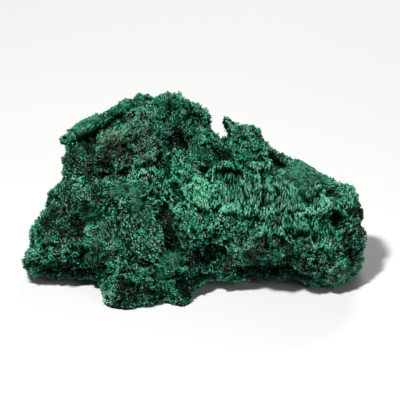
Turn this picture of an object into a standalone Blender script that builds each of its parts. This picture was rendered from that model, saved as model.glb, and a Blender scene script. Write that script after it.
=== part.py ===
"""A hand specimen of fibrous malachite: one solid stone of radiating fibre masses, standing on its own foot.

The stone is described from its show face, which leans back from the upright. A place on it is given in
millimetres as across, to the right; up, along the leaning face; and deep, into the stone behind it.
The girdle is the widest line round the stone. The face swells forward of it and the back swells behind it.
"""

import math

import bmesh
import bpy
import numpy as np
from mathutils import Vector, noise

MM = 0.001

# Driving dimensions, in millimetres and degrees.
FACE_LEAN = 25.0  # how far the show face leans back from the upright
BACK_REACH = 58.0  # how far the back lies behind the foot, along the ground
FACE_ROUND = 7.0  # how far in from the girdle the face is rounded
BACK_ROUND = 17.0  # the same for the back
EDGE = 3.0  # thickness left at the girdle
BLANK_GRAIN = 0.9  # mesh size of the flat blank
STONE_GRAIN = 1.0  # mesh size of the swelled stone
TRIANGLES = 9300  # facets left in the finished solid
FACE_EASE = 2.0  # how freely the face's sheet passes beside the spots it is given
RELIEF_FADE = 2.0  # how far in from the girdle clefts and ridges reach their full amount
FRILL_FADE = 4.0  # the same for the frills
UNDERSIDE_RISE = 3.6  # how high the underside arches between the pads it stands on
ARCH_RUN = 6.0  # how far from a pad the underside reaches that height
FLAT_CUT = 0.8  # how far the pads reach below the ground, before they are cut flat there

# The girdle, clockwise from the left tip of the upper lobe: across, up, deep.
GIRDLE = (
    (-48.0, 59.4, 22), (-44.5, 62.4, 22), (-41.0, 64.2, 22), (-36.8, 67.4, 22),
    (-32.4, 69.0, 22), (-28.9, 70.6, 22), (-24.2, 73.5, 22), (-20.8, 75.0, 22),
    (-16.0, 76.2, 21), (-14.3, 74.6, 20), (-11.2, 74.8, 20), (-9.0, 76.4, 20),
    (-6.2, 77.0, 20), (-4.0, 76.0, 20), (-1.2, 73.2, 20), (2.0, 72.0, 20),
    (4.4, 70.6, 20), (6.2, 68.4, 20), (7.0, 65.4, 20), (8.6, 61.8, 20),
    (11.0, 59.6, 20), (12.4, 60.6, 20), (11.4, 63.6, 20), (10.0, 66.2, 20),
    (9.4, 69.4, 20), (12.0, 67.8, 20), (14.6, 65.7, 20), (17.0, 65.3, 20),
    (21.4, 65.6, 20), (23.9, 63.4, 20), (24.9, 60.6, 20), (26.4, 57.8, 20),
    (29.8, 56.6, 20), (31.6, 54.4, 20), (36.0, 52.4, 20), (40.0, 50.6, 20),
    (43.4, 48.6, 20), (47.4, 46.4, 20), (52.2, 44.6, 19), (55.8, 43.6, 18),
    (57.4, 41.6, 18), (58.6, 38.4, 18), (59.2, 34.6, 18), (58.6, 32.8, 18),
    (59.6, 29.4, 18), (60.0, 24.4, 18), (60.4, 22.2, 18), (59.8, 17.6, 17),
    (58.2, 14.0, 16), (56.0, 10.8, 15), (54.6, 8.8, 14), (51.6, 9.6, 14),
    (48.8, 7.6, 13), (45.6, 9.2, 13), (43.4, 6.8, 12), (38.8, 9.0, 13),
    (34.0, 10.4, 14), (24.0, 10.2, 14), (16.0, 9.0, 14), (8.0, 8.6, 13),
    (0.8, 7.6, 6), (0.2, 4.8, 4), (-1.0, 2.0, 3.6), (-4.0, 0.4, 3),
    (-7.0, 2.6, 5), (-10.4, 3.4, 6), (-14.6, 1.8, 4), (-19.0, 1.2, 3),
    (-23.0, -0.8, 1), (-28.2, -0.4, 1), (-30.6, 1.8, 3), (-31.2, 5.6, 8),
    (-33.4, 9.0, 12), (-36.8, 11.4, 16), (-41.0, 11.0, 18), (-47.0, 10.2, 18),
    (-53.0, 11.4, 18), (-57.8, 12.6, 17), (-59.9, 15.6, 16), (-59.4, 19.0, 16),
    (-57.6, 21.6, 16), (-57.4, 27.0, 17), (-55.6, 31.0, 18), (-53.2, 34.8, 19),
    (-50.4, 38.0, 20), (-49.8, 41.4, 20), (-47.2, 43.8, 21), (-44.4, 46.0, 22),
    (-45.6, 48.6, 22), (-46.6, 51.4, 22), (-45.4, 54.0, 22), (-45.2, 57.0, 22),
)

# How deep the show face lies at named places: across, up, deep.
FACE = (
    # the foot and the skirt above it
    (-27, 4, 0.5), (-14, 6, -1.5), (-4, 6, 1.5), (-22, 12, -1.5), (-9, 13, 0),
    (-36, 14, 6), (-30, 19, 2.5), (-18, 20, 1.5), (-9, 19, 2.5),
    # the left-hand mass
    (-57, 17, 11), (-50, 19, 7), (-43, 18, 6), (-52, 27, 10), (-43, 27, 5), (-34, 29, 4),
    (-25, 28, 2.5), (-15, 30, 3), (-46, 37, 12), (-38, 41, 9), (-29, 40, 6.5), (-20, 41, 5), (-12, 40, 5),
    # the valley below the upper lobe
    (-43, 46, 13), (-32, 46.5, 10.5), (-22, 48, 9.5),
    # the upper lobe and its rim
    (-43, 56, 14), (-37, 51.5, 10), (-30, 51, 8), (-30, 57, 8.5), (-22, 54, 7), (-17, 60, 7.5), (-24, 64, 11),
    (-12, 56, 8), (-10, 66, 11), (-6, 72, 15), (-28, 68, 17), (-38, 62, 17), (2, 66, 14), (4, 58, 13),
    # the saddle
    (-10, 50, 10), (-4, 53, 7), (4, 50, 9), (12, 52, 12),
    # the right-hand mass, from its lip over the cleft to the blunt end
    (-8, 33, 4.5), (0, 33, 1), (3, 26, 0.5), (8, 34, -0.5), (16, 34, -1), (16, 42, 3.5), (26, 42, 4),
    (26, 32, -1.5), (36, 36, 1.5), (36, 26, -1.5), (46, 35, 4), (46, 24, 1), (54, 26, 6), (53, 36, 9),
    (50, 14, 2.5), (42, 13, 2.5), (56, 15, 8), (30, 19, -1.5), (20, 20, -0.5), (9, 19, 3),
    (4, 12, 7), (14, 12, 5), (24, 12, 5), (33, 12, 5),
    # its shoulder, and the crest beside the notch
    (30, 49, 10), (38, 47, 10), (46, 43, 9), (18, 62, 16), (23, 58, 14), (14, 56, 13), (26, 52, 12),
)

# Clefts and hollows (+) and ridges (-) of the show face: path, amount, and how wide each side of it slopes,
# left and right of the path as it runs.
RELIEF = (
    ("cleft", ((-10, 37), (-9, 32), (-5, 26), (-1, 19), (0, 16)), 7.5, 1.2, 5.0),
    ("cleft lip", ((-7, 39), (-5.6, 33), (-1.8, 27), (2.6, 20.5)), -1.4, 1.4, 3.0),
    ("neck seam", ((-13, 54), (-10, 48), (-7.5, 41.5), (-10, 37)), 3.5, 2.0, 2.0),
    ("lobe valley", ((-47, 45.6), (-38, 46), (-30, 46.4), (-22, 47.6), (-15, 50)), 4.5, 1.3, 2.8),
    ("valley lip", ((-42, 43), (-33, 42.5), (-25, 43.5), (-16, 43.5)), -1.6, 2.0, 3.5),
    ("rim", ((-45, 60.5), (-37, 64.5), (-30, 68), (-23, 71), (-16, 73.5)), -1.4, 2.0, 1.6),
    ("under the rim", ((-43, 57), (-37, 60.5), (-30, 63), (-25, 67)), 3.4, 1.6, 3.0),
    ("lobe hole", ((-12, 55), (-11, 52.5)), 4.0, 1.8, 1.8),
    ("lobe pit", ((-6, 59), (-4.5, 56.5)), 3.0, 1.8, 1.8),
    ("notch cleft", ((8, 63), (10.5, 60), (12.6, 58)), 5.0, 1.6, 1.6),
    ("arch", ((4.4, 47), (6.6, 50.2), (11, 51.8), (15.4, 50.8), (18.4, 47.6)), -1.8, 1.4, 1.4),
    ("arch crack", ((0.5, 45), (3, 48), (5, 51.5)), 3.5, 1.6, 1.4),
    ("arch hollow", ((8, 47.8), (12, 48.6), (15.6, 47)), 3.4, 1.6, 1.6),
    ("terrace fin", ((24, 51), (23.8, 44), (24.4, 38)), -1.6, 1.1, 1.1),
    ("undercut", ((16, 14.5), (24, 14), (32, 14), (38, 12.5)), 6.5, 1.2, 2.6),
    ("middle hollow", ((3, 17), (8, 19), (11, 23)), 5.5, 3.0, 3.0),
    ("heel hole", ((-5.8, 12.5), (-4.8, 10), (-4.4, 8.4)), 8.0, 1.9, 1.9),
    ("shoulder hole", ((28.4, 53.6), (30.6, 52.4)), 7.0, 2.2, 2.4),
    ("end pit", ((47.5, 33.5), (52, 32)), 4.0, 1.8, 1.8),
    ("lower end pit", ((52, 21), (54, 19)), 2.6, 2.0, 2.0),
    ("front pit", ((29, 25), (31, 22)), 2.6, 1.8, 1.8),
    ("left undercut", ((-51, 14), (-44, 14.5), (-37, 13)), 5.0, 1.0, 3.0),
    ("left pit", ((-54, 34), (-52, 33)), 2.6, 2.2, 2.2),
    ("middle pit", ((-45, 31), (-40, 29)), 2.6, 2.5, 2.5),
    ("upper pit", ((-36, 35.5), (-30, 34)), 2.4, 2.0, 2.0),
)

# Rows of fibre masses that stand on the show face like frills: middle (across, up), reach (across, up), the
# way a row runs in degrees from across, the spacing of the rows and their height.
FRILLS = (
    ("terrace", (20, 37), (26, 10), -3.0, 7.0, 1.5),
    ("right front", (34, 24), (24, 10), 4.0, 6.0, 1.2),
    ("apron", (-12, 26), (11, 13), -52.0, 4.6, 1.1),
    ("left flank", (-38, 28), (16, 12), 38.0, 6.5, 1.0),
    ("skirt", (-18, 13), (15, 8), -8.0, 5.0, 0.9),
    ("rim", (-30, 64), (18, 6), 30.0, 5.0, 0.9),
    ("shoulder", (40, 46), (16, 6), -28.0, 5.5, 1.0),
)
FRILL_WANDER = 0.9  # how far a row strays, as a share of the spacing
FRILL_BEND = 11.0  # over what length it strays
FRILL_CREST = 0.25  # where the crest of a row lies between one row and the next

# Bulges (+) and hollows (-) of the hidden back: across, height above the ground, radius, amount.
BACK_SWELLS = (
    (-24, 44, 12, 4.0), (-4, 50, 10, 2.0), (-36, 22, 11, 3.0), (-12, 24, 12, -4.0),
    (8, 34, 9, -6.0), (20, 22, 12, 5.0), (40, 26, 12, 3.5), (52, 14, 9, -3.0),
    (-50, 10, 9, -2.0), (4, 10, 10, 3.0), (30, 8, 9, -3.0),
)

# Where the stone touches the ground: x and y from the foot, and radius.
PADS = ((-20, 5, 8.0), (-4, 5, 3.0), (40, 22, 9.0), (-30, 46, 9.0), (26, 50, 9.0), (-50, 26, 4.0))

# The broken, domed surface that masses of fibres leave all over the stone: each form's span and height.
MASS_SPAN, MASS_RISE = 7.5, 3.0
TUFT_SPAN, TUFT_RISE = 3.4, 1.4
CRAG_SPAN, CRAG_RISE = 16.0, 0.9
WARP_SPAN, WARP_REACH = 8.0, 2.2
DOME_MIDDLE = 0.45  # the share of a dome's span at which it neither rises nor sinks
CRAG_MIDDLE = 1.2  # the same for the crags, in the noise's own measure
GIRDLE_HOLD = 0.55  # how much of the roughness is left at the girdle
HOLD_RUN = 3.5  # how far in from the girdle all of it is there
GROWTH = 0.35  # what the surface gains everywhere, for what the remeshing takes off

MALACHITE_GREEN = (0.033, 0.122, 0.074, 1.0)


def spline_sheet(places, depths, where):
    """A smooth sheet through depths given at scattered places, read where asked."""
    def bend(distance):
        return distance * distance * np.log(distance + 1e-6)

    places, where = np.asarray(places, float), np.asarray(where, float)
    count = len(places)
    apart = np.linalg.norm(places[:, None] - places[None], axis=2)
    plane = np.column_stack((np.ones(count), places))
    system = np.zeros((count + 3, count + 3))
    system[:count, :count] = bend(apart) + np.eye(count) * FACE_EASE
    system[:count, count:] = plane
    system[count:, :count] = plane.T
    weights = np.linalg.solve(system, np.concatenate((depths, np.zeros(3))))
    apart = np.linalg.norm(where[:, None] - places[None], axis=2)
    return bend(apart) @ weights[:count] + np.column_stack((np.ones(len(where)), where)) @ weights[count:]


def nearest_on(path, where):
    """Distance from each place to a path, and which side of it the place lies on: +1 left, -1 right."""
    path = np.asarray(path, float)
    nearest = np.full(len(where), np.inf)
    side = np.zeros(len(where))
    for start, end in zip(path[:-1], path[1:]):
        along = end - start
        share = np.clip(((where - start) @ along) / (along @ along), 0.0, 1.0)
        off = where - (start + share[:, None] * along)
        away = np.linalg.norm(off, axis=1)
        nearer = away < nearest
        nearest[nearer] = away[nearer]
        side[nearer] = np.sign(along[0] * off[nearer, 1] - along[1] * off[nearer, 0])
    return nearest, side


def inside_girdle(where):
    """How far in from the girdle each (across, up) lies."""
    ring = np.asarray(GIRDLE, float)[:, :2]
    return nearest_on(np.vstack((ring, ring[:1])), where)[0]


def girdle_depth(where):
    """How deep the girdle lies next to each (across, up): mostly that of its nearest points."""
    ring = np.asarray(GIRDLE, float)
    apart = np.linalg.norm(where[:, None] - ring[None, :, :2], axis=2)
    pull = 1.0 / (apart + 0.5) ** 3
    return (pull @ ring[:, 2]) / pull.sum(axis=1)


def rounded(inset, reach):
    """0 at the girdle, rising like a quarter circle to 1 at the given distance in from it."""
    short = 1.0 - np.clip(inset / reach, 0.0, 1.0)
    return np.sqrt(1.0 - short * short)


def relief(where):
    """How far clefts press each place of the face in (+), or ridges raise it (-)."""
    total = np.zeros(len(where))
    for _, path, amount, left, right in RELIEF:
        away, side = nearest_on(path, where)
        total += amount * np.exp(-((away / np.where(side > 0, left, right)) ** 2))
    return total


def frills(where):
    """How far the rows of fibre masses stand forward (-) or lie back (+) at each place of the face."""
    total = np.zeros(len(where))
    for _, middle, reach, runs, spacing, height in FRILLS:
        angle = math.radians(runs)
        within = np.exp(-((((where - middle) / reach) ** 2).sum(axis=1) ** 2))
        wander = np.array([noise.noise(Vector((a, u, spacing)) / FRILL_BEND) for a, u in where])
        across_rows = where[:, 1] * math.cos(angle) - where[:, 0] * math.sin(angle)
        phase = (across_rows / spacing + wander * FRILL_WANDER) % 1.0
        # each row rises slowly from above and drops away below
        saw = np.minimum(phase / FRILL_CREST, (1.0 - phase) / (1.0 - FRILL_CREST))
        total -= height * within * (saw - 0.5)
    return total


def back_depth(where):
    """How deep the hidden back lies behind each place on the face."""
    lean = math.radians(FACE_LEAN)
    deep = (BACK_REACH - where[:, 1] * math.sin(lean)) / math.cos(lean)
    # a bulge is placed by its height, which hangs on the depth, so the depth is worked out by turns
    for _ in range(3):
        height = where[:, 1] * math.cos(lean) - deep * math.sin(lean)
        reach = np.full(len(where), BACK_REACH)
        for across, up, radius, amount in BACK_SWELLS:
            away = np.hypot(where[:, 0] - across, height - up)
            reach += amount * np.exp(-((away / radius) ** 2))
        deep = (reach - where[:, 1] * math.sin(lean)) / math.cos(lean)
    return deep


def underside(where):
    """How far the underside stands off the ground at each (x, y), arching between the pads."""
    gap = np.full(len(where), np.inf)
    for x, y, radius in PADS:
        gap = np.minimum(gap, np.hypot(where[:, 0] - x, where[:, 1] - y) - radius)
    share = np.clip(gap / ARCH_RUN, 0.0, 1.0)
    return UNDERSIDE_RISE * share * share * (3.0 - 2.0 * share)


def to_world(face_places):
    """World metres of (across, up, deep) places in millimetres."""
    lean = math.radians(FACE_LEAN)
    across, up, deep = face_places.T
    y = up * math.sin(lean) + deep * math.cos(lean)
    z = up * math.cos(lean) - deep * math.sin(lean)
    return np.column_stack((across, y, z)) * MM


def up_the_face(points):
    """How far up the leaning face world points lie, in millimetres."""
    lean = math.radians(FACE_LEAN)
    return (points[:, 1] * math.sin(lean) + points[:, 2] * math.cos(lean)) / MM


def swell(points):
    """World places of the flat blank's points, which are (across, share of EDGE, up) in millimetres."""
    where = points[:, [0, 2]]
    share = np.clip(points[:, 1] / EDGE, 0.0, 1.0)
    inset = inside_girdle(where)
    girdle = girdle_depth(where)
    spots = np.asarray(FACE, float)
    face = spline_sheet(spots[:, :2], spots[:, 2], where)
    front = girdle + (face - girdle) * rounded(inset, FACE_ROUND)
    front += relief(where) * np.clip(inset / RELIEF_FADE, 0.0, 1.0)
    front += frills(where) * np.clip(inset / FRILL_FADE, 0.0, 1.0)
    back = girdle + EDGE + (back_depth(where) - girdle) * rounded(inset, BACK_ROUND)
    swelled = to_world(np.column_stack((where, front + (back - front) * share)))
    floor = (underside(swelled[:, :2] / MM) * share - FLAT_CUT) * MM
    swelled[:, 2] = np.maximum(swelled[:, 2], floor)
    return swelled


def read_points(mesh):
    points = np.empty(len(mesh.vertices) * 3)
    mesh.vertices.foreach_get("co", points)
    return points.reshape(-1, 3)


def write_points(mesh, points):
    mesh.vertices.foreach_set("co", points.astype(np.float32).ravel())
    mesh.update()


def take_modifiers(stone):
    """Replaces the object's mesh by what its modifiers make of it."""
    bpy.context.view_layer.update()
    made = bpy.data.meshes.new_from_object(stone.evaluated_get(bpy.context.evaluated_depsgraph_get()))
    stone.modifiers.clear()
    stone.data = made
    return made


def remesh(stone, size):
    fuse = stone.modifiers.new("fuse", "REMESH")
    fuse.mode = "VOXEL"
    fuse.voxel_size = size * MM
    return take_modifiers(stone)


def flat_blank():
    """A plate of the girdle's outline, EDGE thick."""
    bm = bmesh.new()
    rim = [bm.verts.new((across * MM, 0.0, up * MM)) for across, up, _ in GIRDLE]
    plate = bm.faces.new(rim)
    made = bmesh.ops.extrude_face_region(bm, geom=[plate])["geom"]
    far_side = [part for part in made if isinstance(part, bmesh.types.BMVert)]
    bmesh.ops.translate(bm, vec=(0.0, EDGE * MM, 0.0), verts=far_side)
    bmesh.ops.recalc_face_normals(bm, faces=bm.faces)
    mesh = bpy.data.meshes.new("malachite")
    bm.to_mesh(mesh)
    bm.free()
    return mesh


def roughen(mesh):
    """Gives the whole surface its domed fibre masses, cracks and broken grain."""
    normals = np.empty(len(mesh.vertices) * 3)
    mesh.vertex_normals.foreach_get("vector", normals)
    points = read_points(mesh)
    inset = inside_girdle(np.column_stack((points[:, 0] / MM, up_the_face(points))))
    hold = np.clip(inset / HOLD_RUN, GIRDLE_HOLD, 1.0)
    rise = np.empty(len(points))
    for i, point in enumerate(points / MM):
        place = Vector(point)
        place += noise.noise_vector(place / WARP_SPAN) * WARP_REACH
        mass = DOME_MIDDLE - noise.voronoi(place / MASS_SPAN)[0][0]
        tuft = DOME_MIDDLE - noise.voronoi(place / TUFT_SPAN)[0][0]
        crag = noise.ridged_multi_fractal(place / CRAG_SPAN, 1.0, 2.1, 3, 1.0, 2.0) - CRAG_MIDDLE
        rise[i] = MASS_RISE * mass + TUFT_RISE * tuft + CRAG_RISE * crag
    write_points(mesh, points + normals.reshape(-1, 3) * ((rise * hold + GROWTH) * MM)[:, None])


def thin_out(stone):
    """Brings the mesh down to its facets."""
    stone.data.calc_loop_triangles()
    thin = stone.modifiers.new("thin", "DECIMATE")
    thin.ratio = TRIANGLES / len(stone.data.loop_triangles)
    thin.use_collapse_triangulate = True
    take_modifiers(stone)


def islands(bm):
    """The sets of faces that hang together, largest first."""
    left = set(bm.faces)
    found = []
    while left:
        grown = {left.pop()}
        edge_of_it = list(grown)
        while edge_of_it:
            beside = {face for edge in edge_of_it.pop().edges for face in edge.link_faces} & left
            left -= beside
            grown |= beside
            edge_of_it.extend(beside)
        found.append(grown)
    return sorted(found, key=len, reverse=True)


def stand_flat(stone):
    """Cuts the pads flat at the ground, drops loose crumbs, and centres the stone on its own box."""
    bm = bmesh.new()
    bm.from_mesh(stone.data)
    everything = bm.verts[:] + bm.edges[:] + bm.faces[:]
    level, upright = (0.0, 0.0, 0.0), (0.0, 0.0, 1.0)
    cut = bmesh.ops.bisect_plane(
        bm, geom=everything, dist=1e-6, plane_co=level, plane_no=upright, clear_inner=True
    )
    rim = [part for part in cut["geom_cut"] if isinstance(part, bmesh.types.BMEdge)]
    bmesh.ops.holes_fill(bm, edges=rim, sides=0)
    for crumb in islands(bm)[1:]:
        bmesh.ops.delete(bm, geom=list(crumb), context="FACES")
    bmesh.ops.triangulate(bm, faces=bm.faces)
    bmesh.ops.recalc_face_normals(bm, faces=bm.faces)
    low = Vector(min(v.co[i] for v in bm.verts) for i in range(3))
    high = Vector(max(v.co[i] for v in bm.verts) for i in range(3))
    middle = (low + high) / 2.0
    bmesh.ops.translate(bm, vec=(-middle.x, -middle.y, -low.z), verts=bm.verts)
    bm.to_mesh(stone.data)
    bm.free()


def malachite():
    """Dull, fibrous malachite."""
    material = bpy.data.materials.new("malachite")
    material.use_nodes = True
    shader = material.node_tree.nodes["Principled BSDF"]
    shader.inputs["Base Color"].default_value = MALACHITE_GREEN
    shader.inputs["Roughness"].default_value = 0.7
    shader.inputs["Metallic"].default_value = 0.0
    return material


def main():
    for old in list(bpy.data.objects):
        bpy.data.objects.remove(old)
    stone = bpy.data.objects.new("malachite", flat_blank())
    bpy.context.scene.collection.objects.link(stone)
    blank = remesh(stone, BLANK_GRAIN)
    write_points(blank, swell(read_points(blank) / MM))
    roughen(remesh(stone, STONE_GRAIN))
    remesh(stone, STONE_GRAIN)
    thin_out(stone)
    stand_flat(stone)
    stone.data.materials.append(malachite())


main()
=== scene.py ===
import math

import bmesh
import bpy
import numpy as np
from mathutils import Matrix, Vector, bvhtree, kdtree, noise


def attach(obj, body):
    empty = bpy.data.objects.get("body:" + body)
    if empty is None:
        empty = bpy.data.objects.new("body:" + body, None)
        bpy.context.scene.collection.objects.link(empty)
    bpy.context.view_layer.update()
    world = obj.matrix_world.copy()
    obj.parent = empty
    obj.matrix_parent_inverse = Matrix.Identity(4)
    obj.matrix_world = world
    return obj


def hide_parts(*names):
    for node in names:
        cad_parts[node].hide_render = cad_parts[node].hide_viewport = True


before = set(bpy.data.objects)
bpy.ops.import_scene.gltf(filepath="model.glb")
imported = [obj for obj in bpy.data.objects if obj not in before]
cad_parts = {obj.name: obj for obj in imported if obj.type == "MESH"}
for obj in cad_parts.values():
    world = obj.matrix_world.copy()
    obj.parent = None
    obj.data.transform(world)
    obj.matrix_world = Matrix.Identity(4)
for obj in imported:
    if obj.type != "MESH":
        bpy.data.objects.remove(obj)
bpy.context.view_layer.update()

# ---------------------------------------------------------------------------------------------------------
# The skin of the specimen: the surface that the tips of its fibres draw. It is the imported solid's surface
# with a closer mesh, broken into lumps and pits 2 to 6 mm wide, with small holes, cracks and mounds.

MM = 0.001
NODE = "malachite"
FACE_LEAN = math.radians(25)  # how far the show face leans back
FOOT = (-0.35, -33.0)  # where the foot of the show face meets the ground, in millimetres
SKIN_GRAIN = 0.6  # mesh size
SKIN_EASING = 3  # rounds of smoothing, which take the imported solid's facets away
UPRIGHT_EASING = 24  # rounds of smoothing for the lie of the land under the fibres
LUMPS = ((6.0, 1.3), (3.0, 0.6))  # lumps of crumbly growth: size and depth of the grooves between them
GROOVE = 0.45  # how wide a groove is, as a share of its lump
PITS = ((3.6, 1.6), (2.2, 1.0))  # pits with sharp rims: size and depth
PITTED = 0.6  # the share of places that have their pit
PROUD = 0.45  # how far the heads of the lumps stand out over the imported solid
RAGGED = (0.9, 2.4)  # how far, and over what length, the edge of a hole strays
UPHILL = 1.0  # how strongly fibres lean towards a rim
THICK = 8.0  # where the stone is thinner than this, its relief is lower
RESTING = 2.5  # above this height the stone is clear of the ground
DRIFT = 14.0  # over what length the fibres change their way where no field reaches
NOISE_SEED = 3

# How the fibres stand, in each habit of growth: how flat they lie (0 to 1), their length, the width and
# length of a bundle, how deep the gaps between bundles are (and how much painted shade they get), how blunt
# the fibres are, how lumpy the skin is, how light the fibres stay towards the root (0 to 1) against the
# painted shade that darkens the roots, and how far they stand as lace: as thin walls round small pits (1),
# where the others are tufts with gaps around them (0).
HABITS = {
    "strokes": (0.64, 2.8, 0.60, 3.4, 1.2, 0.00, 0.5, 0.30, 0.0),
    "silk": (0.90, 2.2, 0.50, 2.6, 0.5, 0.00, 0.2, 0.70, 0.0),
    "grains": (0.20, 2.0, 1.00, 1.1, 1.1, 0.80, 0.8, 0.15, 1.0),
    "tufts": (0.40, 2.0, 1.05, 1.4, 1.1, 0.40, 1.0, 0.15, 0.8),
}

# Fields of like fibres on the show face: habit, middle (across, up) and reach (across, up) in millimetres
# from the foot, the way the fibres run (degrees from across, or the place they spread from), how much paler
# (+) or darker (-) they are, and what share of the bundles is frosted (pale grey green, partly the fibres'
# own grey and partly painted sparkle) or stained brown. The darker fields in the cleft, in hollows and
# under overhangs (cleft, hollow, foot hollow, heel, undercut, left under, under crest) are painted shade.
FIELDS = {
    "terrace": ("strokes", (26, 40), (27, 6.5), 88, 0.44, 0.15, 0.0),
    "terrace left": ("tufts", (4, 43.4), (6, 3.6), 80, 0.2, 0.1, 0.0),
    "terrace comb": ("strokes", (33, 43.2), (4, 3), (33, 39), 0.40, 0.2, 0.0),
    "arch": ("strokes", (12, 48.5), (6, 3.4), (12, 43), 0.10, 0.1, 0.0),
    "right slope": ("silk", (42, 49), (12, 4.5), -32, 0.36, 0.1, 0.0),
    "right front": ("strokes", (36, 28), (18, 6), 84, 0.12, 0.15, 0.05),
    "lower front": ("tufts", (30, 18), (20, 5), 80, -0.12, 0.35, 0.08),
    "curl": ("strokes", (37, 26), (4, 4), (37, 26), 0.08, 0.2, 0.0),
    "pale spot": ("tufts", (46.5, 22.8), (3.2, 2.4), 60, 0.25, 0.0, 0.0),
    # painted sparkle: this frosted grain field and the corner one below stand for specks of light
    "front painted sparkle": ("grains", (17, 21.5), (5, 4), 90, 0.10, 0.8, 0.0),
    "corner painted sparkle": ("grains", (48, 13), (8, 4.5), 90, 0.1, 0.7, 0.0),
    "rust": ("grains", (25, 24.5), (5, 3), 90, -0.1, 0.2, 0.6),
    "right end": ("tufts", (57, 27), (4, 16), 100, -0.12, 0.4, 0.05),
    "front corner": ("tufts", (10, 31), (9, 7), 60, 0.05, 0.3, 0.0),
    "left shoulder": ("grains", (-42.5, 42), (7, 4.5), 76, -0.15, 0.5, 0.0),
    "valley silk": ("silk", (-22, 42.6), (7, 3), 30, 0.32, 0.1, 0.0),
    "dark silk": ("silk", (-34.8, 34.4), (3.8, 3.2), 20, -0.12, 0.0, 0.1),
    "left sheaf": ("strokes", (-29.5, 28), (5, 5), (-40, 44), 0.62, 0.2, 0.0),
    "apron": ("strokes", (-15, 27), (13, 12), (-36, 50), 0.42, 0.15, 0.05),
    "left patch": ("silk", (-34.2, 23), (3.6, 1.8), -10, 0.28, 0.0, 0.0),
    "cleft silk": ("silk", (-7, 18), (5, 3), -30, 0.2, 0.0, 0.0),
    "apron tufts": ("tufts", (-14, 26), (9, 9), -50, 0.26, 0.25, 0.05),
    # painted shade: the cleft is set darker
    "cleft": ("silk", (-8, 27), (1.6, 5), -62, -0.30, 0.0, 0.4),
    "leaf": ("silk", (-18.2, 37.4), (2.2, 2.4), 60, 0.04, 0.0, 0.1),
    "heel arcs": ("strokes", (-12.5, 13), (4, 2.6), -40, 0.16, 0.2, 0.0),
    "pale silk": ("silk", (39, 43.2), (2.6, 2.4), 80, 0.36, 0.1, 0.0),
    "left stain": ("grains", (-42, 28), (4, 2.6), 90, -0.28, 0.1, 0.5),
    # painted shade: the foot hollow is set darker
    "foot hollow": ("tufts", (-22.6, 7), (3, 3), 0, -0.24, 0.0, 0.3),
    "left flank": ("tufts", (-46, 30), (9, 9), 50, -0.16, 0.25, 0.28),
    "left tip": ("tufts", (-56.5, 17), (5, 5), (-50, 19), -0.1, 0.4, 0.0),
    "left arcs": ("strokes", (-34, 18), (4, 3), -75, 0.05, 0.3, 0.0),
    "foot": ("tufts", (-18, 6), (16, 6), -10, -0.08, 0.2, 0.2),
    "foot corner": ("grains", (-29, 5), (2.4, 3), 90, 0.2, 0.6, 0.0),
    "rim": ("silk", (-37.5, 65.6), (7, 3), 30, 0.20, 0.1, 0.0),
    "rim top": ("silk", (-27, 71.6), (6.5, 2.6), 30, 0.20, 0.1, 0.0),
    "pale crust": ("grains", (-17.5, 60.5), (8.5, 10), 90, -0.04, 0.7, 0.1),
    "rim rust": ("grains", (-30, 61.5), (4.5, 3), 90, 0.16, 0.1, 0.6),
    "crust rust": ("grains", (-27, 56.5), (5.5, 4.5), 90, -0.28, 0.2, 0.7),
    "olive": ("grains", (-24, 52.6), (3, 3.4), 90, 0.38, 0.3, 0.5),
    "lobe foot": ("grains", (-38, 51), (8, 5), 70, -0.42, 0.3, 0.25),
    "lobe right": ("tufts", (-4, 65), (11, 9), 60, -0.16, 0.35, 0.0),
    "lobe rust": ("tufts", (-0.2, 62.2), (2.2, 3.8), 60, 0.2, 0.1, 0.5),
    "neck tuft": ("tufts", (-7, 51.5), (3, 4.5), 80, 0.02, 0.1, 0.0),
    "crest": ("tufts", (17.5, 61.5), (8, 6), 50, -0.06, 0.4, 0.0),
    "neck": ("tufts", (-6, 44), (8, 4.5), 80, 0.2, 0.15, 0.0),
    # painted shade: the hollow, the heel and the two undercuts are set darker
    "hollow": ("tufts", (3, 18.5), (6, 5.5), 80, -0.32, 0.2, 0.1),
    "heel": ("tufts", (-1.5, 8.5), (3.6, 4.5), 80, -0.42, 0.2, 0.1),
    "undercut": ("tufts", (28, 13), (14, 4), 80, -0.36, 0.3, 0.15),
    "left under": ("tufts", (-44, 13), (9, 4), 80, -0.42, 0.2, 0.15),
    "valley": ("grains", (-32, 47), (12, 2.5), 80, -0.02, 0.3, 0.1),
    # painted shade: the field under the crest is set darker
    "under crest": ("grains", (11, 54.5), (9, 3.5), 90, -0.26, 0.1, 0.1),
}
LOOSE = (*HABITS["tufts"], 0.05, 0.2, 0.02)  # where no field reaches

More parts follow.
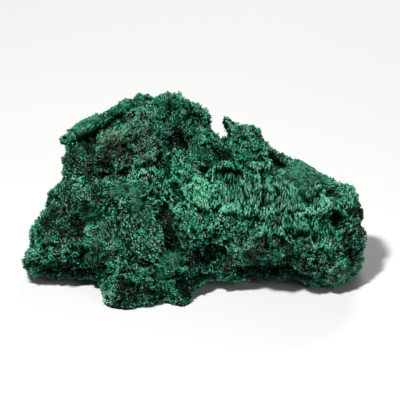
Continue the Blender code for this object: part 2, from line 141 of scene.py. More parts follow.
# Small holes between the masses, and small mounds: the path of each on the show face, its depth (a mound's
# is below 0) and its radius.
HOLES = (
    (((24.4, 50.2), (24.3, 45), (24.4, 38.4)), 3.8, 0.75),
    (((20.8, 44.6), (20.2, 42.2)), 3.0, 0.9),
    (((37.8, 40.2), (39.6, 38.2)), 2.4, 1.1),
    (((29.5, 41), (27.6, 38.5)), 2.2, 0.8),
    (((28.6, 35), (28.2, 33)), 2.4, 1.5),
    (((9.5, 47.0), (12, 46.2), (14, 46.0)), 1.0, 1.0),
    (((1.0, 47.8), (2.4, 47)), -1.6, 1.4),
    (((-40, 46), (-36, 46.4)), -1.4, 1.6),
    (((-22, 47.6), (-21, 47.4)), -1.0, 1.4),
    (((-18.4, 48.2), (-16, 47.4)), -1.8, 1.6),
    (((-24.6, 36.4), (-22.4, 39)), -1.8, 1.1),
    (((-13.8, 56.2), (-13, 55)), -1.8, 1.2),
    (((17, 63.2), (19.4, 62)), -1.4, 1.4),
    (((-9.4, 59), (-9, 55.6)), 2.4, 1.2),
    (((-10, 50), (-9.4, 46.4)), 2.2, 1.1),
    (((-5.2, 46), (-4.4, 44)), 1.8, 1.0),
    (((-3.2, 11), (-2.6, 8.5), (-2.4, 5.5)), 3.0, 1.3),
    (((1, 12), (7, 10.6)), 2.5, 1.6),
    (((11.4, 18.8), (10.6, 15.6)), 1.2, 1.6),
    (((15.6, 24), (15.8, 22.2)), 2.0, 1.0),
    (((17.4, 32.6), (24, 32.2)), 1.8, 0.9),
    (((27.2, 46.2), (27, 44.4)), 1.8, 1.0),
    (((-19.7, 60), (-20, 58.6)), 1.4, 1.0),
    (((-14.5, 64.2), (-14.6, 62.8)), 1.4, 1.0),
    (((-11, 61.6), (-11.4, 60)), 1.4, 0.9),
    (((-5.2, 64.6), (-5, 63)), 1.6, 1.0),
    (((-42.8, 54.4), (-42, 51.5)), 1.8, 1.4),
    (((-15.2, 74.4), (-15, 73.2)), 1.4, 0.8),
    (((-23.2, 71), (-22.6, 70)), 1.2, 0.8),
    (((45.6, 12.4), (45, 10.6)), 2.0, 1.3),
    (((47.8, 17.6), (47.6, 16)), 1.8, 1.1),
    (((8, 55.4), (12, 55.4)), 2.0, 1.3),
    (((-35, 62), (-28.6, 65.6), (-26, 67.6), (-23.6, 69.8), (-19.6, 71.4)), 2.2, 0.75),
    (((38, 18.6), (41, 18)), -1.8, 2.0),
    (((10.6, 23.6), (11.6, 23)), -1.6, 1.5),
    (((-7, 14.4), (-5.4, 13.6)), -1.8, 1.8),
    (((-5.4, 6), (-5, 4.8)), -1.4, 1.2),
    (((-7.6, 54.6), (-7, 53.4)), -1.4, 1.3),
    (((-1.4, 49), (0.2, 45), (0.4, 43.4)), -1.8, 1.4),
    (((-10.4, 39.8), (-10.2, 38.6)), -1.2, 1.2),
    (((-13.6, 18.6), (-11.6, 16.8)), -1.6, 1.2),
    (((5.2, 50), (4, 46.8)), 2.2, 0.9),
    (((-13.6, 62.6), (-14, 61)), 1.8, 1.1),
    (((-4.8, 51.8), (-4.8, 50)), 2.2, 1.0),
    (((-23, 57.6), (-22.6, 55.6), (-21.6, 53.6)), 2.2, 1.0),
    (((-20.6, 74.2), (-20.2, 73)), 1.4, 1.2),
    (((-9, 73.2), (-7, 71.6)), 1.8, 1.5),
    (((-7.2, 57.8), (-7.4, 56.4)), 1.8, 0.9),
    (((23.6, 37), (23.4, 35.6)), 2.0, 1.0),
    (((20.4, 30.4), (20.4, 29.2)), 2.0, 0.9),
    (((-35.8, 49.8), (-35.4, 48.4)), 1.6, 1.2),
    (((-26, 47.2), (-22.8, 47.8)), 1.8, 0.9),
    (((-37.7, 57.8), (-37.7, 56.4)), 1.4, 1.0),
    (((-44.6, 41.2), (-44.6, 39.8)), 1.6, 1.2),
    (((14.6, 22.8), (14.4, 22.2)), 1.2, 1.0),
    (((5.2, 47), (7.6, 49.8), (11.1, 51), (14.5, 50.5), (17.3, 48.8), (18.7, 46.5)), -2.2, 0.85),
    (((10.8, 48.6), (11.6, 45.4)), 1.4, 0.8),
    (((15.4, 48.4), (14.6, 45.2)), 1.4, 0.7),
    (((3.4, 48.6), (5.6, 50.6), (8.4, 52.6), (13, 53), (17, 52)), 1.2, 0.7),
    (((28.4, 53.8), (30.8, 51.8)), 2.0, 1.7),
    (((48.8, 33.6), (50, 31.4)), 1.8, 1.3),
    (((22.6, 44.4), (23.2, 41), (22.8, 38.4)), -1.6, 0.7),
    (((17, 44.8), (18.6, 43), (19.2, 40), (19.6, 38)), -1.8, 0.8),
    (((25.8, 43.8), (26.6, 41), (27, 38.6)), -1.6, 0.9),
    (((49, 42), (49.6, 41.4)), 2.2, 1.5),
    (((36, 44), (36.4, 43.6)), 1.6, 0.7),
    (((25, 27), (25.8, 22)), 2.0, 0.9),
    (((41.2, 29.2), (41.8, 27), (42.4, 25)), 2.0, 1.0),
    (((37, 26.6), (37.4, 26)), 2.0, 1.3),
    (((-36, 40.2), (-31.4, 39.4)), 1.4, 0.9),
    (((-7.2, 43.4), (-4.8, 40)), 2.8, 1.3),
    (((-27, 33), (-25.3, 27.7), (-22.5, 22.8), (-18.3, 18)), 2.4, 0.7),
    (((-10.2, 34), (-9, 30.6), (-7.4, 26.4), (-5.8, 21.6)), 3.8, 1.5),
    (((-42, 30), (-39.6, 27.6)), 1.6, 1.5),
    (((-53, 32), (-51, 30.6)), 1.6, 1.2),
    (((-38.6, 59.2), (-35.6, 60.4)), 2.4, 1.7),
    (((-36.8, 57.6), (-35.2, 56)), 1.6, 1.0),
    (((-28.6, 58.2), (-27, 56.8)), 1.6, 1.4),
    (((-0.8, 68.4), (2.4, 66.6)), 2.0, 1.1),
    (((-32, 50.6), (-28, 48.6)), 1.4, 1.2),
    (((43.4, 42.2), (46.4, 40.8), (48.4, 41.4)), 1.5, 0.6),
    (((-39.6, 41), (-38.6, 40)), -1.2, 1.2),
    (((-8.4, 75.6), (-5.6, 75.4)), 1.0, 0.8),
    (((-49.4, 40), (-48, 39.4)), 1.4, 0.9),
    (((20.2, 49.4), (21.4, 48.8)), 1.4, 0.8),
    (((-3.9, 68.8), (-3, 68.2)), -1.2, 0.8),
    (((52, 34), (53.6, 33.4)), -1.2, 1.0),
    (((45.4, 35), (46.6, 34.2)), -1.2, 0.9),
    (((-15.8, 42.6), (-14.4, 41.8)), -1.2, 1.0),
    (((-34.4, 17.4), (-33, 16.4)), -1.2, 1.0),
    (((-12.6, 36.2), (-11.6, 35)), -1.0, 0.8),
    (((17.4, 26.8), (18.6, 25.8)), -1.2, 0.9),
    (((-14, 53), (-12.4, 52.2)), -1.0, 1.0),
    (((5.8, 45.8), (6.6, 44.8)), 1.4, 0.8),
    (((-6.4, 48), (-5.6, 46.8)), 1.6, 0.9),
    (((-21, 14.8), (-19.8, 14.2)), 1.4, 0.8),
    (((7.8, 17), (8.8, 16.2)), 1.4, 1.0),
    (((-22.6, 73.4), (-21.4, 72.6)), 1.2, 0.8),
    (((-56.6, 23.8), (-55.6, 22.6)), 1.2, 0.8),
    (((12, 24), (13, 23)), 1.6, 0.9),
    (((-2.6, 52.6), (-1.6, 51.8)), 1.6, 0.9),
    (((-45.8, 60.4), (-44.8, 60)), 1.2, 0.8),
    (((42.4, 43.8), (45, 44.6), (48.4, 43.6), (50, 41.6)), -1.0, 0.6),
    (((45.2, 40), (46.6, 37.6), (47, 35.6)), -1.4, 0.7),
    (((49.8, 38.2), (50.4, 35.6)), -1.2, 0.7),
    (((52.4, 38.6), (54.6, 35.8)), -1.2, 1.0),
    (((38.2, 29.2), (39.9, 28), (40.2, 26.6), (39.6, 25.4)), -1.6, 0.6),
    (((50.5, 33), (53, 30.6)), 1.6, 0.9),
    (((45.2, 32.2), (44.4, 30.8)), 1.4, 0.7),
    (((31.4, 17.6), (36.4, 18)), 2.0, 1.4),
    (((53.4, 27.2), (54.4, 26)), 1.4, 0.8),
    (((55.4, 18.2), (56.2, 16)), 1.6, 0.8),
    (((41.6, 17.4), (43, 16.6)), 1.4, 0.8),
    (((7.8, 26), (7.2, 23), (5, 20)), 1.8, 1.2),
    (((28.8, 29.6), (30.4, 27.2)), -1.2, 0.7),
    (((-38.6, 45), (-38.2, 42), (-37, 39.4), (-35, 38)), -1.8, 0.8),
    (((-34.2, 41.6), (-31.4, 43.2)), 1.6, 0.9),
    (((-21.8, 42.8), (-21.4, 42.4)), 1.4, 0.6),
    (((-35.2, 32.4), (-31.4, 32.4)), 1.2, 0.6),
    (((-28.9, 38), (-27, 35.6), (-26.6, 32)), 2.0, 0.7),
    (((-37, 28.2), (-35.6, 26.6)), -1.6, 0.9),
    (((-15, 48), (-13, 44.8), (-10.4, 42.4), (-8.6, 40)), -1.8, 0.6),
    (((-3.4, 42), (-0.6, 42.8)), -2.0, 1.2),
    (((-4, 48.4), (-1.4, 48.8)), -1.8, 1.4),
    (((0, 45), (6, 44)), -1.4, 1.0),
    (((-7.2, 38), (-7, 37)), 2.4, 1.0),
    (((-2.6, 45.2), (-2.4, 44.6)), 1.8, 0.8),
    (((-3, 39), (0.4, 37), (2.4, 35.4), (4.8, 34.6)), 1.5, 0.6),
    (((-14, 41), (-12, 39)), 1.6, 0.8),
    (((-15.2, 39.6), (-16.6, 35.2)), 1.4, 0.5),
    (((-7.8, 30.8), (-6, 28), (-4.8, 25), (-3.2, 21.8)), -1.6, 0.5),
    (((-13.6, 37.2), (-13, 39.2)), -1.4, 0.7),
    (((-14.6, 30.4), (-12.6, 27), (-11, 23.4)), -1.2, 0.6),
    (((-15, 25.4), (-13, 22.6), (-11, 20.4)), -1.4, 0.6),
    (((-22.8, 68.4), (-20, 69.6), (-17.2, 70.4)), -1.4, 0.8),
    (((0.8, 64), (0.8, 61)), 1.8, 0.6),
    (((-7, 62.8), (-5.4, 61.2)), 1.4, 0.9),
    (((-4.2, 58.6), (-2.6, 57.6)), 1.8, 0.9),
    (((-8.6, 54.6), (-6, 55.4), (-4.8, 53.6), (-4, 51)), -2.0, 0.7),
    (((20.8, 51.6), (23.6, 50.4)), -1.8, 0.9),
    (((25.2, 53.8), (26.6, 51), (26.2, 49)), -1.8, 0.6),
    (((20.4, 56.2), (24.4, 56)), 1.6, 0.6),
    (((16.6, 51.8), (19.4, 50.4)), 1.6, 0.6),
    (((-58.6, 17.4), (-57, 19), (-55.6, 20.4), (-53, 20.6)), -1.2, 0.9),
    (((-48.8, 21.6), (-48.2, 18.8)), -1.6, 1.1),
    (((-45, 22.6), (-44.4, 20.6)), -1.2, 0.9),
    (((-47.8, 25), (-46.8, 24.6)), -1.2, 1.2),
    (((-38.6, 20.4), (-38.6, 16.4)), 2.2, 1.2),
    (((-36.2, 18.8), (-36.4, 16)), -1.4, 0.6),
    (((-33, 14), (-31.4, 12)), 1.8, 1.2),
    (((-29.4, 5), (-28.6, 2.6)), -1.4, 1.0),
    (((-24, 8.6), (-21, 9.4)), 1.4, 1.2),
    (((-22, 18.8), (-19, 17.2), (-15, 16.8)), 2.0, 0.7),
    (((-8.4, 11.4), (-5.4, 12.6)), 1.8, 0.6),
    (((-4.5, 7.2), (-4, 3.4)), -1.6, 0.7),
)


def points_of(mesh, kind="co"):
    """The mesh's vertices, or their normals, as rows of an array."""
    found = np.empty(len(mesh.vertices) * 3, np.float32)
    if kind == "co":
        mesh.vertices.foreach_get("co", found)
    else:
        mesh.vertex_normals.foreach_get("vector", found)
    return found.reshape(-1, 3).astype(float)


def move_points(mesh, points):
    """Puts the mesh's vertices at new places."""
    mesh.vertices.foreach_set("co", points.astype(np.float32).ravel())
    mesh.update()


def eased(mesh, rounds):
    """Smooths a mesh in place."""
    bm = bmesh.new()
    bm.from_mesh(mesh)
    for _ in range(rounds):
        bmesh.ops.smooth_vert(
            bm, verts=bm.verts, factor=0.5, use_axis_x=True, use_axis_y=True, use_axis_z=True
        )
    bm.to_mesh(mesh)
    bm.free()


def skin_of(node_name, name):
    """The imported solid's surface as an object of its own, joined up and meshed anew."""
    skin = bpy.data.objects.new(name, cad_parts[node_name].data.copy())
    bpy.context.scene.collection.objects.link(skin)
    bm = bmesh.new()
    bm.from_mesh(skin.data)
    bmesh.ops.remove_doubles(bm, verts=bm.verts, dist=1e-6)
    bm.to_mesh(skin.data)
    bm.free()
    fuse = skin.modifiers.new("fuse", "REMESH")
    fuse.mode = "VOXEL"
    fuse.voxel_size = SKIN_GRAIN * MM
    bpy.context.view_layer.update()
    closer = bpy.data.meshes.new_from_object(skin.evaluated_get(bpy.context.evaluated_depsgraph_get()))
    skin.modifiers.clear()
    skin.data = closer
    eased(closer, SKIN_EASING)
    return skin


def unit(rows):
    """Each row made one long."""
    return rows / np.maximum(np.linalg.norm(rows, axis=1), 1e-12)[:, None]


def on_face(points):
    """(across, up) on the show face of places in space, all in millimetres."""
    up = (points[:, 1] - FOOT[1]) * math.sin(FACE_LEAN) + points[:, 2] * math.cos(FACE_LEAN)
    return np.column_stack((points[:, 0] - FOOT[0], up))


def off_face(across, up, deep=0.0):
    """The place in space of a place on the show face, all in millimetres."""
    y = up * math.sin(FACE_LEAN) + deep * math.cos(FACE_LEAN)
    z = up * math.cos(FACE_LEAN) - deep * math.sin(FACE_LEAN)
    return np.array((across + FOOT[0], y + FOOT[1], z))


def face_ways(across, up):
    """The direction in space of a direction on the show face."""
    return np.stack([across, up * math.sin(FACE_LEAN), up * math.cos(FACE_LEAN)], axis=-1)


def away_from(path, where):
    """How far each place on the face is from a path on it."""
    nearest = np.full(len(where), np.inf)
    for a, b in zip(path, path[1:]):
        a, run = np.array(a, float), np.subtract(b, a)
        along = np.clip((where - a) @ run / (run @ run), 0, 1)
        nearest = np.minimum(nearest, np.linalg.norm(where - a - along[:, None] * run, axis=1))
    return nearest


def smooth_noise(points, span, seed=0.0):
    """Smooth noise of about -1 to 1 whose features are span across."""
    shift = Vector((seed, -seed, seed))
    return np.array([noise.noise(Vector(p) / span + shift) for p in points])


def grooves(points, size):
    """1 in the grooves between rounded lumps, and 0 on their heads."""
    cut = np.empty(len(points))
    for i, p in enumerate(points):
        at = Vector(p) / size
        first, second = noise.voronoi(at + 0.35 * noise.noise_vector(at * 1.3))[0][:2]
        cut[i] = second - first
    return np.clip(1 - cut / GROOVE, 0, 1) ** 1.5


def pits(points, size):
    """1 in the middle of pits and 0 on the rims between them."""
    sunken = np.empty(len(points))
    for i, p in enumerate(points):
        at = Vector(p) / size
        distances, middles = noise.voronoi(at + 0.25 * noise.noise_vector(at * 2.1) + Vector((5, 5, 5)))
        sunken[i] = (1 - distances[0] / 0.55) * (noise.cell(middles[0] * 13.7) < PITTED)
    return np.clip(sunken, 0, 1) ** 0.8


noise.seed_set(NOISE_SEED)  # or noise vectors start from the clock, and the stone differs at each run
stone = skin_of(NODE, "massive_stone")
skin = points_of(stone.data) / MM
quads = np.array([list(face.vertices) for face in stone.data.polygons])
mellowed = stone.data.copy()
eased(mellowed, UPRIGHT_EASING)
mellow = points_of(mellowed, "normal")
# how much lower the skin lies than around it
sunk = ((points_of(mellowed) / MM - skin) * mellow).sum(axis=1)
bpy.data.meshes.remove(mellowed)

# how thick the stone is under each place: thin edges and points keep their form
solid = bvhtree.BVHTree.FromPolygons(skin.tolist(), quads.tolist())
thick = np.array([
    solid.ray_cast(Vector(p) - 0.05 * Vector(n), -Vector(n), THICK)[3] or THICK for p, n in zip(skin, mellow)
])
keep_form = np.clip(thick / THICK, 0.0, 1.0)

where = on_face(skin)
to_viewer = np.array((0.0, -math.cos(FACE_LEAN), math.sin(FACE_LEAN)))
fronting = np.clip(mellow @ to_viewer * 2.0 + 0.7, 0.0, 1.0)  # 0 on the back and 1 on the show face

shares = np.zeros(len(skin))
traits = np.zeros((len(skin), len(LOOSE)))
flow = np.zeros((len(skin), 3))
for habit, middle, reach, way, *rest in FIELDS.values():
    share = np.exp(-(((((where - middle) / reach) ** 2).sum(axis=1)) ** 2)) * fronting
    if isinstance(way, tuple):
        out = unit(where - np.array(way, float))
        along = face_ways(out[:, 0], out[:, 1])
    else:
        along = face_ways(math.cos(math.radians(way)), math.sin(math.radians(way)))
    shares += share
    traits += share[:, None] * np.array(HABITS[habit] + tuple(rest))
    flow += share[:, None] * along
loose = np.clip(1.0 - shares, 0.0, 1.0)
flow += loose[:, None] * (unit(np.array([noise.noise_vector(Vector(p) / DRIFT) for p in skin])) + (0, 0, 0.3))
traits += loose[:, None] * np.array(LOOSE)
traits /= (shares + loose)[:, None]
flow -= (flow * mellow).sum(axis=1)[:, None] * mellow
flow = unit(flow)

lumpy = traits[:, 6]  # the seventh number of a habit
standing = keep_form * np.clip(skin[:, 2] / RESTING, 0.0, 1.0)  # 0 where the stone rests on the ground
relief = PROUD * lumpy
for size, depth in LUMPS:
    relief -= depth * lumpy * grooves(skin, size)
for size, depth in PITS:
    relief -= depth * lumpy * pits(skin, size)
astray = np.array([noise.noise_vector(Vector(p) / RAGGED[1])[:2] for p in skin]) * RAGGED[0]
# each hole also counts as lower in sunk, which carries the painted shade of the fibres
for path, depth, radius in HOLES:
    hole = np.exp(-((away_from(path, where + astray * min(radius, 1.0) ** 2) / radius) ** 2)) * fronting
    relief -= depth * hole
    sunk += 0.8 * depth * hole
relief *= standing
skin += mellow * relief[:, None]
sunk -= 0.5 * relief
move_points(stone.data, skin * MM)
normals = points_of(stone.data, "normal")
# fibres lean uphill, so that their tips stand along the rims
flow = unit(flow + UPHILL * (mellow - normals))

# ---------------------------------------------------------------------------------------------------------
# The massive stone. Under its fibres the specimen is one solid lump of malachite, painted nearly black
# as painted shade where no light gets in between the fibres, with a little brown iron stain.

STONE_INSET = 1.0  # how far it lies under the tips


def srgb(code):
    """A hex colour as linear red, green, blue and alpha."""
    parts = [int(code[i:i + 2], 16) / 255 for i in (0, 2, 4)]
    return (*[s / 12.92 if s <= 0.04045 else ((s + 0.055) / 1.055) ** 2.4 for s in parts], 1.0)


def material(name):
    """A new material, with its node tree and its shader."""
    made = bpy.data.materials.new(name)
    made.use_nodes = True
    return made, made.node_tree, made.node_tree.nodes["Principled BSDF"]


def node(tree, kind, settings=(), links=()):
    """Adds a node with its settings and its inputs: a number or colour is set, a socket is joined."""
    made = tree.nodes.new("ShaderNode" + kind)
    for name, value in dict(settings).items():
        setattr(made, name, value)
    for name, value in dict(links).items():
        if isinstance(value, bpy.types.NodeSocket):
            tree.links.new(value, made.inputs[name])
        else:
            made.inputs[name].default_value = value
    return made


def ramp(tree, share, stops):
    """A colour ramp over a share of 0 to 1: (place, hex colour) for each stop."""
    made = node(tree, "ValToRGB", links={"Fac": share})
    while len(made.color_ramp.elements) < len(stops):
        made.color_ramp.elements.new(1.0)
    for element, (place, code) in zip(made.color_ramp.elements, stops):
        element.position = place
        element.color = srgb(code)
    return made.outputs["Color"]


def massive_malachite():
    """Massive malachite with painted shade: dull, close-grained, painted black-green as shade, stained brown
    in patches 8 mm across.
    """
    made, tree, shader = material("massive_malachite")
    place = node(tree, "TexCoord").outputs["Object"]
    stain = node(tree, "TexNoise", links={"Vector": place, "Scale": 1 / (8 * MM), "Detail": 4.0})
    grain = node(tree, "TexNoise", links={"Vector": place, "Scale": 1 / (0.8 * MM), "Detail": 3.0})
    # painted shade: the stone's green kept near black
    green = ramp(tree, grain.outputs["Fac"], ((0.35, "000604"), (0.7, "02170f")))
    brown = ramp(tree, grain.outputs["Fac"], ((0.35, "050404"), (0.7, "1d1612")))
    share = ramp(tree, stain.outputs["Fac"], ((0.52, "000000"), (0.62, "ffffff")))
    mixed = node(tree, "Mix", {"data_type": "RGBA"})
    tree.links.new(share, mixed.inputs["Factor"])
    tree.links.new(green, mixed.inputs[6])
    tree.links.new(brown, mixed.inputs[7])
    tree.links.new(mixed.outputs[2], shader.inputs["Base Color"])
    shader.inputs["Roughness"].default_value = 0.9
    shader.inputs["Specular IOR Level"].default_value = 0.1
    return made


move_points(stone.data, (skin - mellow * STONE_INSET * standing[:, None]) * MM)
stone.data.materials.clear()
stone.data.materials.append(massive_malachite())
stone.data.shade_smooth()
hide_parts(NODE)
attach(stone, "root")

# ---------------------------------------------------------------------------------------------------------
# The fibres. Needles of malachite grow in bundles that spread from a point in the stone, and stand as
# granular heads, as rows of upright strokes, as fans, or lie flat as silk. Each needle is a thin splinter,
# and those of one part of the stone are joined into one mesh.

NEEDLE_SEED = 7
FRONT_NEEDLES, BACK_NEEDLES = 8.0, 2.0  # needles to each quad of the skin
MOST_NEEDLES = 49_000  # in one mesh, so that it stays under 200,000 triangles
NEEDLE_WIDTH = 0.28
HEAD_WIDTH = 0.34  # of a blunt needle
BACK_BROADER = 0.55  # needles on the back are fewer, and this much broader
GROUND_GAP = 0.1  # how far above the ground every needle stays
BUNDLE_CHOICE = 14  # how many bundles near a needle are tried for it
BUNDLE_TILT, NEEDLE_TILT = 0.22, 0.07  # how far bundles and needles lean astray
FAN = 0.45  # how far the needles of an upright bundle spread
GAP = (0.06, 0.36)  # where a gap between bundles starts to rise, and over what width it does
GAP_DROP = 1.4  # how low needles stand in a gap
BUNDLE_STEP, NEEDLE_STEP = 0.7, 0.3  # how far bundles, and needles in a bundle, differ in height
WALL = (0.15, 0.25)  # where a wall between pits starts to fall, and over what width it does

# Tones go from 0, black-green, to 1, the palest tips.
MID_TONE = 0.51
BUNDLE_TONE = 0.40  # how far the tone strays from bundle to bundle
NEEDLE_TONE = 0.48  # and from needle to needle
GAP_PAINTED_SHADE = 0.85  # painted shade: how much darker the needles in the gaps between bundles are painted, and a little paler on the bundles' hearts
HOLLOW_PAINTED_SHADE = 0.16  # painted shade: how much darker the fibres are painted for each millimetre that the stone lies lower than around it
TONE_PATCHES = (5.0, 0.22)  # paler and darker patches: how wide, and by how much
BACK_PALER = 0.08
BACK_PATCHES = (11.0, 0.45)  # broader patches on the back
GRIME = (4.5, 0.10)  # brown stains: how wide they are, and how few (0 to 1)
LEAST_FROST_AND_SPARKLE = 0.06  # the share of frosted needles, pale grey green and partly painted sparkle, where a field gives none
# where on the colour map's width each kind of needle starts, and how much of the width it has
GREENS, FROST_AND_SPARKLE, STAINED = (0.01, 0.57), (0.61, 0.23), (0.87, 0.12)
MAP_STEP = 0.004  # how wide one needle is on the colour map

rng = np.random.default_rng(NEEDLE_SEED)
corners = skin[quads]
diagonals = corners[:, 2] - corners[:, 0], corners[:, 3] - corners[:, 1]
quad_area = 0.5 * np.linalg.norm(np.cross(*diagonals), axis=1)
quad_front = fronting[quads].mean(axis=1)
grounded = np.clip(skin[quads][:, :, 2].mean(axis=1) / 1.5, 0.15, 1.0)  # few grow where the stone rests
wanted = (BACK_NEEDLES + (FRONT_NEEDLES - BACK_NEEDLES) * quad_front) * grounded
number = np.floor(wanted + rng.random(len(quads))).astype(int)
chosen = np.repeat(np.arange(len(quads)), number)
s, t = rng.random((2, len(chosen)))
weights = ((1 - s) * (1 - t), s * (1 - t), s * t, (1 - s) * t)


def at_needles(values):
    """Values at the skin's vertices, read at each needle's place."""
    found = values[quads[chosen]]
    return sum(found[:, i] * (w[:, None] if values.ndim > 1 else w) for i, w in enumerate(weights))


places = at_needles(skin)
upright = unit(at_needles(normals) + at_needles(mellow))
flow_here = at_needles(flow)
flow_here = unit(flow_here - (flow_here * upright).sum(axis=1)[:, None] * upright)
front_here = at_needles(fronting)
back_here = np.clip(1.0 - 2.0 * front_here, 0.0, 1.0)
sunk_here = at_needles(sunk)
flat, length, wide, long, gap_depth, blunt, _, root_light, lacy, paler, frost, rust = at_needles(traits).T
length = length * (0.3 + 0.7 * at_needles(keep_form))

# bundles: some needles are the hearts of bundles, and each needle belongs to the nearest heart, where a
# bundle is longer along the flow than across it
area_each = (quad_area / np.maximum(number, 1))[chosen]
hearts = np.flatnonzero(rng.random(len(places)) < area_each / (wide * long))
heart_at = places[hearts]
heart_flow, heart_up = flow_here[hearts], upright[hearts]
heart_side = np.cross(heart_flow, heart_up)
heart_wide, heart_long = wide[hearts], long[hearts]
for settle in (True, False):
    tree_of_hearts = kdtree.KDTree(len(hearts))
    for i, p in enumerate(heart_at):
        tree_of_hearts.insert(p, i)
    tree_of_hearts.balance()
    near = np.array([[found[1] for found in tree_of_hearts.find_n(p, BUNDLE_CHOICE)] for p in places])
    offset = places[:, None] - heart_at[near]
    along = (offset * heart_flow[near]).sum(axis=2) / heart_long[near]
    beside = (offset * heart_side[near]).sum(axis=2) / heart_wide[near]
    above = (offset * heart_up[near]).sum(axis=2) / heart_wide[near]
    reach = np.sqrt(along**2 + beside**2 + above**2)
    order = np.argsort(reach, axis=1)[:, :2]
    rows = np.arange(len(places))
    mine = near[rows, order[:, 0]]
    gap = reach[rows, order[:, 1]] - reach[rows, order[:, 0]]
    if settle:  # each heart moves to the middle of its needles, which evens the bundles out
        members = np.bincount(mine, minlength=len(hearts))
        held = members > 0
        for axis in range(3):
            total = np.bincount(mine, weights=places[:, axis], minlength=len(hearts))
            heart_at[held, axis] = (total / np.maximum(members, 1))[held]
beside = beside[rows, order[:, 0]]
along = along[rows, order[:, 0]]

own = rng.random((len(hearts), 4))[mine]  # four chances that a bundle's needles share
tilt = rng.normal(size=(len(hearts), 2))[mine] * BUNDLE_TILT
chance = rng.random((6, len(places)))
jitter = rng.normal(size=(len(places), 3))
side_here = np.cross(flow_here, upright)
crown = np.clip((gap - GAP[0]) / GAP[1], 0.0, 1.0)  # 0 between two bundles, 1 over a bundle's heart
# 1 between two pits and 0 in the middle of a pit: some pits are wider than others
wall = np.clip((WALL[0] * (0.2 + 1.6 * own[:, 0]) + WALL[1] - gap) / WALL[1], 0.0, 1.0)
crown = np.where(lacy > 0.2 + 0.6 * own[:, 1], wall, crown)
crown = crown * crown * (3 - 2 * crown)
spread = FAN * (1 - 0.85 * flat)
direction = unit(
    upright * (1.0 - flat)[:, None]
    + flow_here * (flat + tilt[:, 0] * (1 - flat) + spread * along)[:, None]
    + side_here * (tilt[:, 1] * (1 - 0.6 * flat) + spread * beside)[:, None]
    + jitter * NEEDLE_TILT
)
height = -gap_depth * GAP_DROP * (1 - crown)
height += BUNDLE_STEP * (own[:, 0] - 0.5) * gap_depth
height -= NEEDLE_STEP * chance[0]
heads = places + upright * height[:, None]
lengths = length * (0.75 + 0.5 * chance[1])
roots = heads - direction * lengths[:, None]

# needles differ most in dark fields, which are black with bright specks of painted glint, and next where they
# lie flat
speckled = NEEDLE_TONE + 1.0 * np.clip(-paler, 0.0, 0.4) + 0.2 * np.clip(flat - 0.3, 0.0, 0.4)
tone = MID_TONE + paler + BUNDLE_TONE * (own[:, 1] - 0.5) * (1 - 0.6 * lacy) + speckled * (chance[2] - 0.5)
tone += speckled * (chance[0] > 0.97 - 0.2 * (speckled - NEEDLE_TONE))  # painted glints: the bright specks, a few needles made much paler
patches = at_needles(smooth_noise(skin, TONE_PATCHES[0], 11.0))
# painted shade in the gaps between bundles and in the pits of lace, a little painted light over bundle hearts
tone += GAP_PAINTED_SHADE * (crown - 0.85) * gap_depth + TONE_PATCHES[1] * patches
# painted shade: fibres darker where the stone lies lower than around it
tone -= HOLLOW_PAINTED_SHADE * np.clip(sunk_here, -1.0, 3.0)
# the back is plainer than the face, with broad patches of paler and darker fibres
tone += back_here * (BACK_PALER + BACK_PATCHES[1] * at_needles(smooth_noise(skin, BACK_PATCHES[0], 3.0)))
grimy = np.clip(at_needles(smooth_noise(skin, GRIME[0], 5.0)) - GRIME[1], 0, 1) * (1 - flat)
tone -= 0.5 * grimy
tone = np.clip(tone, 0.03, 0.97)
alone = chance[3] < 0.5  # half of the needles go with their bundle, and half by themselves
# frosted needles: pale grey green, partly the fibres' own grey and partly painted sparkle
frosted_and_sparkling = np.where(alone, chance[4], own[:, 2]) < frost + LEAST_FROST_AND_SPARKLE
rust += 1.2 * grimy
stained = np.where(alone, chance[5], own[:, 3]) < rust
start, width = np.select([stained[:, None], frosted_and_sparkling[:, None]], [STAINED, FROST_AND_SPARKLE], GREENS).T
across_map = start + width * tone
SPLINTER = np.array(((0, 1, 2), (0, 2, 3), (0, 3, 1), (3, 2, 1)))  # point first, then its three corners


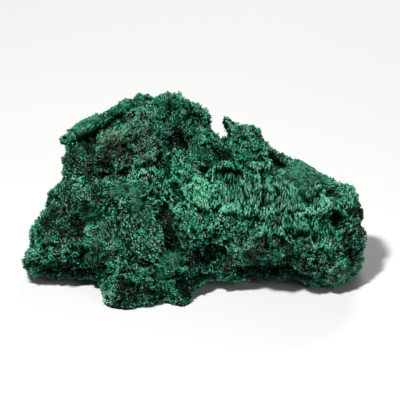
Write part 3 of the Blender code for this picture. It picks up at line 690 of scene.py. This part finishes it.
def needle_mesh(name, picked):
    """One mesh of the picked needles, each a splinter of four corners, with its tone laid out on a map."""
    n = len(picked)
    axis = direction[picked]
    one = unit(np.cross(axis, jitter[picked]))
    other = np.cross(axis, one)
    is_blunt = chance[1, picked] < blunt[picked]
    radius = 0.58 * (0.8 + 0.5 * rng.random((n, 1))) * np.where(is_blunt, HEAD_WIDTH, NEEDLE_WIDTH)[:, None]
    radius *= 1.0 + BACK_BROADER * back_here[picked, None]
    tip = np.where(is_blunt[:, None], roots[picked], heads[picked])
    base = np.where(is_blunt[:, None], heads[picked], roots[picked])
    slant = rng.uniform(-0.9, 0.9, (3, n, 1)) * radius * is_blunt[:, None]
    turns = [math.radians(a) for a in (90, 210, 330)]
    ring = [
        base + (one * math.cos(a) + other * math.sin(a)) * radius + axis * k for a, k in zip(turns, slant)
    ]
    co = np.stack([tip, *ring], axis=1).reshape(-1, 3) * MM
    # wound so that faces point outwards whichever end is the wide one
    wound = np.where(is_blunt[:, None, None], SPLINTER[None], SPLINTER[None, :, ::-1])
    loops = (wound + (np.arange(n) * 4)[:, None, None]).reshape(-1)
    mesh = bpy.data.meshes.new(name)
    mesh.vertices.add(n * 4)
    mesh.vertices.foreach_set("co", co.astype(np.float32).ravel())
    mesh.loops.add(len(loops))
    mesh.loops.foreach_set("vertex_index", loops.astype(np.int32))
    mesh.polygons.add(n * len(SPLINTER))
    mesh.polygons.foreach_set("loop_start", np.arange(0, len(loops), 3, dtype=np.int32))
    mesh.update(calc_edges=True)
    # on the map, a needle's tone runs across and its length runs up
    # up the map, each needle takes painted shade towards its root
    root_map = 0.02 + 0.8 * root_light[picked, None] + np.array((0.0, 0.04, 0.08))
    pointed_map = np.hstack((np.full((n, 1), 0.99), root_map))
    up_map = np.where(is_blunt[:, None], (0.02, 0.90, 0.95, 0.99), pointed_map)
    at = np.stack([across_map[picked, None] + np.array((0, -1, 0, 1)) * MAP_STEP, up_map], axis=-1)
    layer = mesh.uv_layers.new(name="OFBake")
    layer.uv.foreach_set("vector", np.clip(at, 0.001, 0.999).reshape(-1, 2)[loops].astype(np.float32).ravel())
    made = bpy.data.objects.new(name, mesh)
    bpy.context.scene.collection.objects.link(made)
    return made


def fibrous_malachite():
    """Needles of malachite: silky, darkened towards the root by painted shade and pale at the tips, where
    they catch light.
    """
    made, tree, shader = material("fibrous_malachite")
    at = node(tree, "UVMap", {"uv_map": "OFBake"}).outputs["UV"]
    parts = node(tree, "SeparateXYZ", links={"Vector": at})
    tones = ramp(tree, parts.outputs["X"], (
        # the greens
        (0.0, "000502"), (0.12, "001f13"), (0.26, "075238"),
        (0.38, "208e66"), (0.5, "51b58d"), (0.59, "6ebf9b"),
        # the frosted, pale grey green towards the tips: partly the fibres' own grey and partly painted
        # sparkle
        (0.605, "060f0b"), (0.70, "2c5042"), (0.78, "6b9783"), (0.85, "9cc0b0"),
        # the stained, brown with iron
        (0.862, "060706"), (0.92, "302f27"), (1.0, "6c6b5a"),
    ))
    # painted shade: the colour darkens along each needle towards its root
    shade = ramp(tree, parts.outputs["Y"], ((0.0, "000a06"), (0.5, "1c4c3a"), (0.9, "ffffff")))
    both = node(tree, "Mix", {"data_type": "RGBA", "blend_type": "MULTIPLY"})
    both.inputs["Factor"].default_value = 1.0
    tree.links.new(tones, both.inputs[6])
    tree.links.new(shade, both.inputs[7])
    tree.links.new(both.outputs[2], shader.inputs["Base Color"])
    shader.inputs["Roughness"].default_value = 0.40
    shader.inputs["Specular IOR Level"].default_value = 0.05
    return made


# each part takes the needles that no part above it has, by where they are on the show face
at_across, at_up = on_face(places).T
at_front = front_here > 0.3
PARTS = {
    "lobe_fibres": at_front & (at_up > 48) & (at_across < 6),
    "left_fibres": at_front & (at_across < -6 + (30 - at_up) * 0.2),
    "terrace_fibres": at_front & (at_up > 33),
    "right_fibres": at_front,
    "back_fibres": at_across > 5,
    "back_left_fibres": at_across <= 5,
}
fibrous = fibrous_malachite()
# none grow in the middle of a gap, or into the ground
free = (crown > 0.35 * chance[1] + 0.3 * lacy) & (np.minimum(heads, roots)[:, 2] > GROUND_GAP)
for name, belongs in PARTS.items():
    taken = free & belongs
    free &= ~taken
    picked = np.flatnonzero(taken)
    if len(picked) > MOST_NEEDLES:
        picked = np.sort(rng.permutation(picked)[:MOST_NEEDLES])
    fibres = needle_mesh(name, picked)
    fibres.data.materials.append(fibrous)
    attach(fibres, "root")

# ---------------------------------------------------------------------------------------------------------
# The floor, the light and the camera. A small softbox above the left front models the stone, and two wider,
# weaker lamps fill its right and its back.

FLOOR = 3.0  # half its width, in metres


def pale_paper():
    """Matt pale paper."""
    made, tree, shader = material("pale_paper")
    shader.inputs["Base Color"].default_value = srgb("c9c9c7")
    shader.inputs["Roughness"].default_value = 0.9
    return made


bm = bmesh.new()
bmesh.ops.create_grid(bm, x_segments=1, y_segments=1, size=FLOOR)
floor_mesh = bpy.data.meshes.new("floor")
bm.to_mesh(floor_mesh)
bm.free()
floor = bpy.data.objects.new("floor", floor_mesh)
floor.data.materials.append(pale_paper())
bpy.context.scene.collection.objects.link(floor)


def lamp(name, place, aim, size, power):
    """A square lamp that faces what it aims at: metres and watts."""
    light = bpy.data.lights.new(name, "AREA")
    light.shape = "RECTANGLE"
    light.size, light.size_y = size, size
    light.energy = power
    made = bpy.data.objects.new(name, light)
    made.location = place
    made.rotation_euler = (Vector(aim) - Vector(place)).to_track_quat("-Z", "Y").to_euler()
    bpy.context.scene.collection.objects.link(made)


lamp("softbox", (-0.20, -0.34, 0.64), (0, 0, 0.02), 0.08, 9.4)
lamp("front_fill", (0.45, -0.60, 0.35), (0, 0, 0.03), 0.30, 1.4)
lamp("back_fill", (0.15, 0.75, 0.40), (0, 0, 0.03), 0.30, 4.5)
world = bpy.data.worlds.new("room")
world.use_nodes = True
world.node_tree.nodes["Background"].inputs["Color"].default_value = srgb("dfe4e6")
world.node_tree.nodes["Background"].inputs["Strength"].default_value = 0.08
bpy.context.scene.world = world
bpy.context.scene.view_settings.view_transform = "Standard"

PIXELS = 400  # the width of the frame
MM_TO_A_PIXEL = 0.346  # the width that one of them shows
SENSOR = 36.0  # millimetres
DISTANCE = 1.3  # metres from the camera to the show face
FRAME_MIDDLE = (2.42, 38.4, 12.0)  # the place on the show face at the middle of the frame

aim = Vector(off_face(*FRAME_MIDDLE) * MM)
camera_data = bpy.data.cameras.new("camera")
camera_data.sensor_width = SENSOR
camera_data.lens = SENSOR * DISTANCE / (PIXELS * MM_TO_A_PIXEL * MM)
camera_data.clip_start, camera_data.clip_end = 0.05, 10.0
camera = bpy.data.objects.new("camera", camera_data)
camera.location = aim + Vector(to_viewer) * DISTANCE
camera.rotation_euler = Vector(-to_viewer).to_track_quat("-Z", "Y").to_euler()
bpy.context.scene.collection.objects.link(camera)
bpy.context.scene.camera = camera
